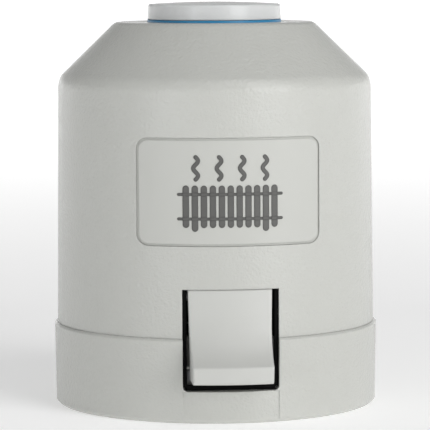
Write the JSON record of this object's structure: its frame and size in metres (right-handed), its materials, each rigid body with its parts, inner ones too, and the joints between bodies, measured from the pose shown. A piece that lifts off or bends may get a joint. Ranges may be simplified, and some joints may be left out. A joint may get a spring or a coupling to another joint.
{
  "type": "motorised actuator head",
  "caption": "Clip-on thermal actuator head for a heating valve: drum housing with sloped shoulder, rising round indicator cap, front release latch and round socket below.",
  "frame": {"origin": "centre of the round valve socket, at the base plane", "axes": "+Z along the stroke axis, away from the valve; the release latch is at the front, towards -Y"},
  "size_m": [0.0443, 0.0482, 0.0547],
  "materials": {
    "black_plastic": "black moulding",
    "blue_plastic": "blue indicator ring",
    "board_resin": "green glass-epoxy board",
    "cap_plastic": "smooth light grey cap",
    "chip_resin": "black chip bodies",
    "contact_brass": "rolled strip",
    "cup_brass": "turned brass",
    "housing_plastic": "fine spark-eroded grain, light grey",
    "inner_plastic": "glass-filled black nylon",
    "insulator": "white alumina",
    "label_plastic": "smoother than the housing, light grey",
    "latch_plastic": "smooth light grey moulding",
    "lead_sheath": "brown wire insulation",
    "ptc_ceramic": "silver-faced grey ceramic",
    "seal_rubber": "black nitrile",
    "sheet_steel": "stamped and deburred",
    "spring_steel": "drawn spring wire",
    "varistor_resin": "blue dipped resin",
    "wax": "copper-filled paraffin wax"
  },
  "bodies": {
    "housing": {"base_housing": "housing_plastic", "chip_part_1": "chip_resin", "chip_part_2": "chip_resin", "chip_part_3": "chip_resin", "chip_part_4": "chip_resin", "chip_part_5": "chip_resin", "circuit_board": "board_resin", "cover": "housing_plastic", "element_bridge": "sheet_steel", "foot_seal": "seal_rubber", "frame_screw_1": "sheet_steel", "frame_screw_2": "sheet_steel", "frame_screw_3": "sheet_steel", "frame_screw_4": "sheet_steel", "heater_contact_lower": "contact_brass", "heater_contact_upper": "contact_brass", "heater_insulator": "insulator", "heating_disc": "ptc_ceramic", "indicator_seal": "seal_rubber", "inlet_pin_left": "contact_brass", "inlet_pin_right": "contact_brass", "label_plate": "label_plastic", "latch_bracket": "inner_plastic", "latch_pin": "sheet_steel", "latch_spring": "spring_steel", "lead_wire_lower": "lead_sheath", "lead_wire_upper": "lead_sheath", "main_spring": "spring_steel", "piston_guide": "cup_brass", "piston_sleeve": "seal_rubber", "plug_inlet": "black_plastic", "slide_spring": "spring_steel", "socket_ring": "housing_plastic", "spring_frame": "inner_plastic", "thermal_fuse": "insulator", "varistor": "varistor_resin", "wax_charge": "wax", "wax_cup": "cup_brass"},
    "drive": {"indicator_cap": "cap_plastic", "indicator_ring": "blue_plastic", "drive_cage": "inner_plastic", "pressure_foot": "inner_plastic", "work_piston": "sheet_steel"},
    "latch": {"release_latch": "latch_plastic"},
    "slide": {"locking_slide": "sheet_steel"}
  },
  "joints": [
    {"name": "stroke", "type": "slide", "parent": "housing", "child": "drive", "axis": [0, 0, 1], "range_m": [-0.0024, 0.0016], "deforming": ["main_spring"]},
    {"name": "latch_hinge", "type": "hinge", "parent": "housing", "child": "latch", "pos_m": [0, -0.017, 0.0164], "axis": [1, 0, 0], "range_deg": [0, 9], "stiffness_Nm_per_rad": 0.02, "springref_deg": -5.73, "deforming": ["latch_spring"]},
    {"name": "slide_travel", "type": "slide", "parent": "housing", "child": "slide", "axis": [0, 1, 0], "range_m": [0, 0.00163], "stiffness_N_per_m": 200, "springref_m": -0.002, "deforming": ["slide_spring"]}
  ],
  "couplings": [
    {"joint": "latch_hinge", "follows": "slide_travel", "rad_per_m": 96.154}
  ]
}
